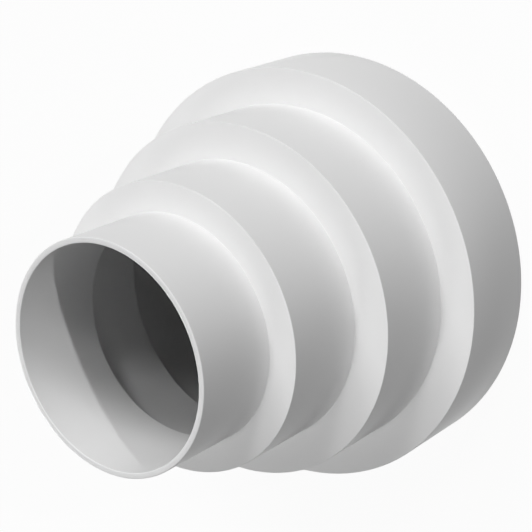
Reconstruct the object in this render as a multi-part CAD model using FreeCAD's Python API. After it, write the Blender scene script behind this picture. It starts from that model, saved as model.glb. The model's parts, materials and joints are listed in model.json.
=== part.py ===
# Stepped duct adapter: one hollow moulding of rigid white plastic.
# Four round spigots, each for one common duct size, stand in line on one axis and get
# smaller from the wide end to the narrow end. A flat ring shoulder joins each spigot to
# the next, and the inside follows the same steps, so air passes straight through the
# middle. The adapter stands on its wide end, with its axis along +Z.
# Lengths are in millimetres.

import FreeCAD, Part
import os

# Outer diameter of each spigot. They fit ducts and hoses of nominal 150, 125, 100 and
# 80 millimetres, which slide on over the spigot.
base_diameter = 150.3
lower_diameter = 124.8
upper_diameter = 99.4
tip_diameter = 79.0

# Length of each spigot along the axis, as seen from outside.
base_length = 32.5
lower_length = 32.5
upper_length = 32.5
tip_length = 32.5

# Thickness of the wall, the same in the spigots and in the shoulders.
wall_thickness = 2.0

# Small bevels that take the sharpness off the lips at both open ends, and off the steps
# inside and outside.
lip_bevel = 0.3
step_bevel = 0.25

NODE = "adapter"
ORIGIN = FreeCAD.Vector(0, 0, 0)
AXIS = FreeCAD.Vector(0, 0, 1)
FULL_TURN = 360.0
SHARP_JOIN = 2

# The spigots from the wide end up, each as its outer diameter and its length.
spigots = [
    (base_diameter, base_length),
    (lower_diameter, lower_length),
    (upper_diameter, upper_length),
    (tip_diameter, tip_length),
]
total_length = sum(length for diameter, length in spigots)


def outer_outline():
    """The stepped line of the outside, in the XZ plane, from the wide lip up to the tip."""
    points = []
    height = 0.0
    for diameter, length in spigots:
        points.append(FreeCAD.Vector(diameter / 2, 0, height))
        height += length
        points.append(FreeCAD.Vector(diameter / 2, 0, height))
    return Part.makePolygon(points)


def wall_section():
    """The cut face of the wall: the outer line thickened towards the axis."""
    return outer_outline().makeOffset2D(
        wall_thickness, join=SHARP_JOIN, fill=True, openResult=True
    )


def is_at_lip(edge):
    """Whether a ring edge lies at one of the two open ends."""
    height = edge.Curve.Center.z
    distance_from_end = min(height, total_length - height)
    return distance_from_end < Part.Precision.confusion()


def bevel_rings(solid, at_lip, width):
    """The solid with the ring edges at its lips, or all its other ring edges, bevelled."""
    rings = [edge for edge in solid.Edges if isinstance(edge.Curve, Part.Circle)]
    chosen = [edge for edge in rings if is_at_lip(edge) == at_lip]
    return solid.makeChamfer(width, chosen).Solids[0]


def make_adapter():
    """The whole moulding, turned from its wall section and softened at its edges."""
    body = wall_section().revolve(ORIGIN, AXIS, FULL_TURN)
    body = bevel_rings(body, False, step_bevel)
    return bevel_rings(body, True, lip_bevel)


os.makedirs("parts", exist_ok=True)
adapter = make_adapter()
adapter.exportStep(f"parts/{NODE}.step")
print(NODE, "valid:", adapter.isValid(), "volume cm3:", round(adapter.Volume / 1000, 2))
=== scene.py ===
"""A stepped duct adapter of glossy white plastic, standing on its wide end in a plain pale studio.

Lengths are in metres, in the frame that the CAD model is packed in, with +Z up along the adapter's axis.
"""

import json
import logging
import math
from dataclasses import dataclass, field
from enum import Enum
from typing import Optional, Union

import bpy
from mathutils import Matrix, Vector


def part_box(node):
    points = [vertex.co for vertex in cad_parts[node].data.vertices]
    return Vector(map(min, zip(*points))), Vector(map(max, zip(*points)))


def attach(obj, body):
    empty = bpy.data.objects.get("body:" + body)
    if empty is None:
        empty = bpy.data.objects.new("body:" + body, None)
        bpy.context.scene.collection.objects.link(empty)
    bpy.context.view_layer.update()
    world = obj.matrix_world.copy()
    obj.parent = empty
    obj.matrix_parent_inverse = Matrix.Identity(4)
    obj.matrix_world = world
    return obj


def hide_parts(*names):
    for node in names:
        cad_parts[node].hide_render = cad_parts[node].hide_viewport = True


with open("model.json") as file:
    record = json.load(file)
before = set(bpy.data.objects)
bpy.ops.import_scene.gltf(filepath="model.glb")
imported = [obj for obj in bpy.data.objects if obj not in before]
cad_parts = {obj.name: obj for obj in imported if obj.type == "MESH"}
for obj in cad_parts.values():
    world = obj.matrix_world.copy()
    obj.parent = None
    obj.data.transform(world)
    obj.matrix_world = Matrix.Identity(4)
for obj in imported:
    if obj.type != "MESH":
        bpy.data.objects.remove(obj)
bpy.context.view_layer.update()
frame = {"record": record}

LOG = logging.getLogger("duct_adapter")
MM = 0.001
Number = Union[int, float]
Colour = tuple[float, float, float]
WHITE: Colour = (1.0, 1.0, 1.0)
OPAQUE = 1.0
NOISE_MIDDLE = 0.5


class SpigotName(Enum):
    """The four tubes of the adapter, from the wide end up, as the record's mounts name them."""

    BASE = "base"
    LOWER = "lower"
    UPPER = "upper"
    TIP = "tip"


class Socket:
    """A shader value that Python's arithmetic can be written on."""

    def __init__(self, shader: "Shader", link: Optional[bpy.types.NodeSocket]) -> None:
        """Keeps the socket and the shader that its maths nodes are added to.

        Args:
            shader: The shader that the value belongs to.
            link: The output socket that carries the value, or None behind an output node.
        """
        self.shader = shader
        self.link = link

    def _maths(self, operation: str, first: "Value", second: "Value") -> "Socket":
        """Adds one Math node.

        Args:
            operation: The Math node's operation.
            first: Its first value.
            second: Its second value.

        Returns:
            The node's result.
        """
        return self.shader.node("ShaderNodeMath", {"operation": operation}, {0: first, 1: second})

    def __add__(self, other: "Value") -> "Socket":
        """The sum of this value and another."""
        return self._maths("ADD", self, other)

    def __radd__(self, other: "Value") -> "Socket":
        """The sum of another value and this one."""
        return self._maths("ADD", other, self)

    def __sub__(self, other: "Value") -> "Socket":
        """This value less another."""
        return self._maths("SUBTRACT", self, other)

    def __rsub__(self, other: "Value") -> "Socket":
        """Another value less this one."""
        return self._maths("SUBTRACT", other, self)

    def __mul__(self, other: "Value") -> "Socket":
        """The product of this value and another."""
        return self._maths("MULTIPLY", self, other)

    def __rmul__(self, other: "Value") -> "Socket":
        """The product of another value and this one."""
        return self._maths("MULTIPLY", other, self)


Value = Union[Number, Socket, Colour]


class Shader:
    """A node tree of a material or of the world, built from Python expressions."""

    def __init__(self, tree: bpy.types.NodeTree) -> None:
        """Empties the tree.

        Args:
            tree: The node tree to fill.
        """
        self.tree = tree
        self.tree.nodes.clear()

    def node(
        self,
        kind: str,
        settings: Optional[dict[str, object]] = None,
        inputs: Optional[dict[Union[int, str], Value]] = None,
        output: Union[int, str] = 0,
    ) -> Socket:
        """Adds one node.

        Args:
            kind: The node's type.
            settings: The node's own settings, set before its sockets.
            inputs: A value or a link for each input socket that is used.
            output: The output socket to return.

        Returns:
            The chosen output of the new node.
        """
        made = self.tree.nodes.new(kind)
        for name, value in (settings or {}).items():
            setattr(made, name, value)
        for name, value in (inputs or {}).items():
            socket = made.inputs[name]
            if isinstance(value, Socket):
                self.tree.links.new(value.link, socket)
            elif isinstance(value, tuple):
                # A colour socket takes an alpha as its fourth number, and a vector socket takes none.
                socket.default_value = (*value, OPAQUE)[: len(socket.default_value)]
            else:
                socket.default_value = value
        return Socket(self, made.outputs[output] if made.outputs else None)

    def noise(self, place: Socket, scale: float, detail: float) -> Socket:
        """A field of soft noise from 0 to 1.

        Args:
            place: The coordinates that the noise follows.
            scale: Waves per metre.
            detail: Number of finer layers.

        Returns:
            The noise's value.
        """
        return self.node(
            "ShaderNodeTexNoise",
            {"noise_dimensions": "3D"},
            {"Vector": place, "Scale": scale, "Detail": detail},
        )

    def mix(self, share: Value, first: Socket, second: Socket) -> Socket:
        """A blend of two surfaces.

        Args:
            share: How much of the second surface shows, from 0 to 1.
            first: The first surface.
            second: The second surface.

        Returns:
            The blended surface.
        """
        return self.node("ShaderNodeMixShader", inputs={0: share, 1: first, 2: second})

    def looked_at(self) -> Socket:
        """A mask of the rays that show the background: straight, mirrored or refracted ones.

        Returns:
            The mask, from 0 to 1.
        """
        camera = self.node("ShaderNodeLightPath", output="Is Camera Ray")
        glossy = self.node("ShaderNodeLightPath", output="Is Glossy Ray")
        through = self.node("ShaderNodeLightPath", output="Is Transmission Ray")
        sum_up = {"operation": "ADD", "use_clamp": True}
        return self.node("ShaderNodeMath", sum_up, {0: camera + glossy, 1: through})

    def finish(self, surface: Socket, target: str = "ShaderNodeOutputMaterial") -> None:
        """Links a surface to the tree's output.

        Args:
            surface: The surface's shader.
            target: The type of the output node.
        """
        self.node(target, inputs={"Surface": surface})


@dataclass(frozen=True)
class GlossyPlastic:
    """Smooth moulded plastic, with the gloss that a polished mould leaves.

    Attributes:
        name: The material's name.
        colour: Its even colour.
        roughness: How blurred its reflections are.
        refraction: Index of refraction, which sets how strong its reflections are.
        tone_change: How much the colour's lightness drifts over the surface.
        roughness_change: How much the roughness drifts over the surface.
        drift_scale: Waves of that drift per metre.
        drift_detail: Number of finer layers in that drift.
        skin_scale: Waves of the moulded skin per metre.
        skin_detail: Number of finer layers in the skin.
        skin_height: Height of the moulded skin, in metres.
    """

    name: str
    colour: Colour = (0.82, 0.82, 0.82)
    roughness: float = 0.31
    refraction: float = 1.42
    tone_change: float = 0.02
    roughness_change: float = 0.04
    drift_scale: float = 22.0
    drift_detail: float = 2.0
    skin_scale: float = 420.0
    skin_detail: float = 1.0
    skin_height: float = 0.000004

    def material(self) -> bpy.types.Material:
        """Builds the material.

        Returns:
            The finished material.
        """
        material = bpy.data.materials.new(self.name)
        material.use_nodes = True
        shader = Shader(material.node_tree)
        place = shader.node("ShaderNodeTexCoord", output="Object")
        drift = shader.noise(place, self.drift_scale, self.drift_detail) - NOISE_MIDDLE
        skin = shader.noise(place, self.skin_scale, self.skin_detail)
        tone = 1.0 + drift * self.tone_change
        scaling = {"operation": "SCALE"}
        colour = shader.node("ShaderNodeVectorMath", scaling, {0: self.colour, "Scale": tone})
        bump = shader.node("ShaderNodeBump", inputs={"Distance": self.skin_height, "Height": skin})
        surface = shader.node(
            "ShaderNodeBsdfPrincipled",
            inputs={
                "Base Color": colour,
                "Roughness": self.roughness + drift * self.roughness_change,
                "IOR": self.refraction,
                "Normal": bump,
            },
        )
        shader.finish(surface)
        return material


@dataclass(frozen=True)
class RoundWall:
    """A stretch of round wall.

    Attributes:
        radius: Radius of the wall, in metres.
        low: Height of its lower end, in metres.
        high: Height of its upper end, in metres.
    """

    radius: float
    low: float
    high: float

    @classmethod
    def from_mount(cls, name: str) -> "RoundWall":
        """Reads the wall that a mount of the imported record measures.

        Args:
            name: The mount's name.

        Returns:
            The wall's radius and its two ends.
        """
        mount = next(mount for mount in frame["record"]["mounts"] if mount["name"] == name)
        centre = mount["pos_m"][2]
        half_length = mount["dims"]["length_mm"] * MM / 2
        return cls(mount["dims"]["r_mm"] * MM, centre - half_length, centre + half_length)


@dataclass
class AdapterBody:
    """The whole adapter: one hollow moulding of four tubes and three flat shoulders, turned about +Z.

    Attributes:
        node: The CAD node that it stands for.
        slot: The record's material slot that it takes its finish from.
        segments: Facets round the axis.
        bevel_steps: Facets across each softened edge.
        smooth_angle: Edges flatter than this many degrees are shaded smooth.
        tolerance: Two points nearer than this count as one, in metres.
        finish: The plastic that it is made of.
        tubes: The outside of each tube from its foot to its head, from the wide end up.
        wall: Thickness of the wall, in metres.
        lip_bevel: Width of the softened edges at the two open ends, in metres.
        step_bevel: Width of the softened edges at the shoulders, in metres.
    """

    node: str = "adapter"
    slot: str = "white_plastic"
    segments: int = 256
    bevel_steps: int = 3
    smooth_angle: float = 35.0
    tolerance: float = 0.00002
    finish: GlossyPlastic = field(default_factory=lambda: GlossyPlastic("white_moulded_plastic"))
    tubes: list[RoundWall] = field(init=False)
    wall: float = field(init=False)
    lip_bevel: float = field(init=False)
    step_bevel: float = field(init=False)

    def __post_init__(self) -> None:
        """Works out the sizes from the node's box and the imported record's mounts."""
        straight = [RoundWall.from_mount(f"{name.value}_spigot") for name in SpigotName]
        bore = RoundWall.from_mount(f"{SpigotName.BASE.value}_bore")
        low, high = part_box(self.node)
        shoulders = [(below.high + above.low) / 2 for below, above in zip(straight, straight[1:])]
        self.tubes = [
            RoundWall(tube.radius, foot, head)
            for tube, foot, head in zip(straight, [low.z, *shoulders], [*shoulders, high.z])
        ]
        self.wall = straight[0].radius - bore.radius
        self.lip_bevel = straight[0].low - low.z
        self.step_bevel = shoulders[0] - straight[0].high

    def outline(self) -> list[tuple[float, float]]:
        """The closed outline of the wall's section.

        Returns:
            Points (radius, height), up the outside and down the inside, in metres.
        """
        outside = [(tube.radius, height) for tube in self.tubes for height in (tube.low, tube.high)]
        inside = [(radius - self.wall, height - self.wall) for radius, height in outside]
        inside[0] = (inside[0][0], outside[0][1])
        inside[-1] = (inside[-1][0], outside[-1][1])
        return outside + inside[::-1]

    def draw_out(self, start: tuple[float, float], end: tuple[float, float]) -> None:
        """Draws the selected ring out to the next corner of the section.

        Args:
            start: The ring's radius and height now.
            end: The radius and height that it goes to.
        """
        bpy.ops.mesh.extrude_edges_move(TRANSFORM_OT_translate={"value": (0.0, 0.0, end[1] - start[1])})
        share = end[0] / start[0]
        bpy.ops.transform.resize(value=(share, share, 1.0), center_override=(0.0, 0.0, end[1]))

    def turn_section(self, corners: list[tuple[float, float]]) -> bpy.types.Object:
        """Makes the closed wall, ring by ring, from a circle at its first corner.

        Args:
            corners: The outline of the wall's section.

        Returns:
            The sharp-edged body, in edit mode.
        """
        radius, height = corners[0]
        bpy.ops.object.select_all(action="DESELECT")
        foot = (0.0, 0.0, height)
        bpy.ops.mesh.primitive_circle_add(vertices=self.segments, radius=radius, location=foot)
        body = bpy.context.object
        body.name = body.data.name = "adapter_body"
        bpy.ops.object.transform_apply(location=True, rotation=True, scale=True)
        bpy.ops.object.mode_set(mode="EDIT")
        bpy.ops.mesh.select_all(action="SELECT")
        for start, end in zip(corners, [*corners[1:], corners[0]]):
            self.draw_out(start, end)
        bpy.ops.mesh.select_all(action="SELECT")
        bpy.ops.mesh.remove_doubles(threshold=self.tolerance)
        return body

    def select_rings(self, body: bpy.types.Object, heights: list[float]) -> None:
        """Selects the ring edges that lie at some heights.

        Args:
            body: The adapter, in edit mode.
            heights: The heights to choose, in metres.
        """
        bpy.ops.mesh.select_mode(type="EDGE")
        bpy.ops.mesh.select_all(action="DESELECT")
        bpy.ops.object.mode_set(mode="OBJECT")
        places = [vertex.co for vertex in body.data.vertices]
        for edge in body.data.edges:
            first, second = (places[index] for index in edge.vertices)
            level = abs(first.z - second.z) < self.tolerance
            same_ring = abs(first.xy.length - second.xy.length) < self.tolerance
            chosen = any(abs(first.z - height) < self.tolerance for height in heights)
            edge.select = level and same_ring and chosen
        bpy.ops.object.mode_set(mode="EDIT")

    def soften_edges(self, body: bpy.types.Object, corners: list[tuple[float, float]]) -> None:
        """Rounds the edges at the shoulders and at the lips.

        Args:
            body: The adapter, in edit mode.
            corners: The outline of the wall's section.
        """
        lips = [self.tubes[0].low, self.tubes[-1].high]
        steps = sorted({height for _, height in corners} - set(lips))
        for heights, width in ((steps, self.step_bevel), (lips, self.lip_bevel)):
            self.select_rings(body, heights)
            bpy.ops.mesh.bevel(offset=width, segments=self.bevel_steps, affect="EDGES")

    def build(self) -> bpy.types.Object:
        """Models the moulding.

        Returns:
            The finished object, dressed and riding on the root body.
        """
        corners = self.outline()
        body = self.turn_section(corners)
        self.soften_edges(body, corners)
        bpy.ops.mesh.select_all(action="SELECT")
        bpy.ops.mesh.normals_make_consistent(inside=False)
        bpy.ops.object.mode_set(mode="OBJECT")
        bpy.ops.object.shade_smooth_by_angle(angle=math.radians(self.smooth_angle))
        body.data.materials.append(self.finish.material())
        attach(body, "root")
        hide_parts(self.node)
        return body


@dataclass(frozen=True)
class PaleFloor:
    """The plain floor that the adapter stands on. It shows as white round the adapter and shaded inside it.

    Attributes:
        half_width: Half the floor's side, in metres.
        height: Its height, a hair under the adapter's foot so that the two never share a plane, in metres.
        colour: Its colour under the lamps where it is looked at, straight or in a reflection.
        bounce_colour: Its colour for the soft light that it throws back on the adapter.
        white: Brightness of the plain white in its look.
        white_share: How much of its look is that plain white, and not the lamps on it.
        covered_radius: Within this distance of the axis the floor lies inside the adapter, in its shadow, and
            shows only what light falls in on it, in metres.
    """

    covered_radius: float
    half_width: float = 6.0
    height: float = -0.0001
    colour: Colour = (0.8, 0.8, 0.8)
    bounce_colour: Colour = (0.08, 0.08, 0.08)
    white: float = 1.0
    white_share: float = 0.94

    def material(self) -> bpy.types.Material:
        """Builds the floor's material.

        Returns:
            The finished material.
        """
        material = bpy.data.materials.new("pale_floor")
        material.use_nodes = True
        shader = Shader(material.node_tree)
        bounce = shader.node("ShaderNodeBsdfDiffuse", inputs={"Color": self.bounce_colour})
        matt = shader.node("ShaderNodeBsdfDiffuse", inputs={"Color": self.colour})
        plain = shader.node("ShaderNodeEmission", inputs={"Color": WHITE, "Strength": self.white})
        place = shader.node("ShaderNodeTexCoord", output="Object")
        off_axis = shader.node("ShaderNodeVectorMath", {"operation": "LENGTH"}, {0: place}, output="Value")
        beyond = {"operation": "GREATER_THAN"}
        uncovered = shader.node("ShaderNodeMath", beyond, {0: off_axis, 1: self.covered_radius})
        look = shader.mix(self.white_share * uncovered, matt, plain)
        shader.finish(shader.mix(shader.looked_at(), bounce, look))
        return material

    def build(self) -> bpy.types.Object:
        """Lays the floor at the adapter's foot.

        Returns:
            The floor.
        """
        bpy.ops.object.select_all(action="DESELECT")
        bpy.ops.mesh.primitive_plane_add(size=2 * self.half_width, location=(0.0, 0.0, self.height))
        floor = bpy.context.object
        floor.name = floor.data.name = "studio_floor"
        floor.data.materials.append(self.material())
        return floor


@dataclass(frozen=True)
class Lamp:
    """One far studio lamp, which lights the whole adapter evenly.

    Attributes:
        name: The lamp's name.
        azimuth: Where it stands, in degrees round the adapter: 0 is the camera's side, 90 the +X side.
        elevation: How high it stands, in degrees above the floor.
        strength: Its light, in watts per square metre.
        spread: How wide it looks from the adapter, in degrees: a wide lamp's shadows are soft.
    """

    name: str
    azimuth: float
    elevation: float
    strength: float
    spread: float

    def build(self) -> bpy.types.Object:
        """Makes the lamp and turns it towards the adapter.

        Returns:
            The lamp.
        """
        data = bpy.data.lights.new(self.name, "SUN")
        data.energy = self.strength
        data.angle = math.radians(self.spread)
        lamp = bpy.data.objects.new(self.name, data)
        bpy.context.scene.collection.objects.link(lamp)
        round_turn, height_turn = math.radians(self.azimuth), math.radians(self.elevation)
        towards = Vector((
            math.sin(round_turn) * math.cos(height_turn),
            -math.cos(round_turn) * math.cos(height_turn),
            math.sin(height_turn),
        ))
        lamp.rotation_euler = towards.to_track_quat("Z", "Y").to_euler()
        return lamp


@dataclass(frozen=True)
class Studio:
    """The lamps, the even light that comes from all round, and the far background.

    Attributes:
        lamps: The studio's lamps.
        even_light: Strength of the light from all round.
        background_white: Brightness of the far background where it is looked at.
    """

    lamps: tuple[Lamp, ...] = (
        Lamp("key_lamp", azimuth=0.0, elevation=17.0, strength=0.8, spread=1.5),
        Lamp("side_lamp", azimuth=72.0, elevation=28.0, strength=1.55, spread=26.0),
        Lamp("fill_lamp", azimuth=48.0, elevation=44.0, strength=0.64, spread=12.0),
        Lamp("top_lamp", azimuth=0.0, elevation=90.0, strength=0.56, spread=6.0),
        Lamp("far_lamp", azimuth=-135.0, elevation=62.0, strength=0.3, spread=12.0),
        Lamp("back_lamp", azimuth=-176.0, elevation=4.0, strength=1.0, spread=6.0),
    )
    even_light: float = 0.03
    background_white: float = 1.0

    def build(self) -> None:
        """Lights the adapter and sets the world."""
        for lamp in self.lamps:
            made = lamp.build()
            LOG.info("%s lit at %.2f", made.name, lamp.strength)
        world = bpy.data.worlds.new("studio_air")
        bpy.context.scene.world = world
        world.use_nodes = True
        shader = Shader(world.node_tree)
        light, look = (
            shader.node("ShaderNodeBackground", inputs={"Color": WHITE, "Strength": strength})
            for strength in (self.even_light, self.background_white)
        )
        shader.finish(shader.mix(shader.looked_at(), light, look), "ShaderNodeOutputWorld")


@dataclass(frozen=True)
class ProductCamera:
    """The camera, high over the narrow end and turned so that the adapter's axis lies across the picture.

    Attributes:
        eye: The camera's place, in metres.
        look_down: How far below level it looks, in degrees.
        roll: Its turn about its own line of sight, in degrees.
        focal_length: Its lens, in millimetres, on a sensor of the width below.
        sensor_width: The sensor's width, in millimetres.
        nearest: Distance under which nothing shows, in metres.
        farthest: Distance beyond which nothing shows, in metres.
    """

    eye: tuple[float, float, float] = (0.00682, -0.36466, 0.46060)
    look_down: float = 48.900
    roll: float = -113.473
    focal_length: float = 106.347
    sensor_width: float = 36.0
    nearest: float = 0.01
    farthest: float = 100.0

    def build(self) -> bpy.types.Object:
        """Sets the camera up as the scene's own.

        Returns:
            The camera.
        """
        data = bpy.data.cameras.new("product_camera")
        data.lens = self.focal_length
        data.sensor_width = self.sensor_width
        data.clip_start, data.clip_end = self.nearest, self.farthest
        camera = bpy.data.objects.new("product_camera", data)
        bpy.context.scene.collection.objects.link(camera)
        # A camera that isn't turned looks straight down, so it is tilted up from there.
        tilt = Matrix.Rotation(math.pi / 2 - math.radians(self.look_down), 4, "X")
        turn = Matrix.Rotation(math.radians(self.roll), 4, "Z")
        camera.matrix_world = Matrix.Translation(self.eye) @ tilt @ turn
        bpy.context.scene.camera = camera
        return camera


def main() -> None:
    """Builds the adapter, its floor, its light and the camera, and reports each."""
    logging.basicConfig(level=logging.INFO, format="%(name)s: %(message)s")
    bpy.context.scene.view_settings.view_transform = "Standard"
    adapter = AdapterBody()
    body = adapter.build()
    LOG.info("%s: %d tubes, %d faces", body.name, len(adapter.tubes), len(body.data.polygons))
    floor = PaleFloor(covered_radius=adapter.tubes[0].radius - adapter.wall / 2).build()
    LOG.info("%s laid, %.1f m across", floor.name, floor.dimensions.x)
    Studio().build()
    camera = ProductCamera().build()
    LOG.info("%s set with a lens of %.0f mm", camera.name, camera.data.lens)


if __name__ == "__main__":
    main()
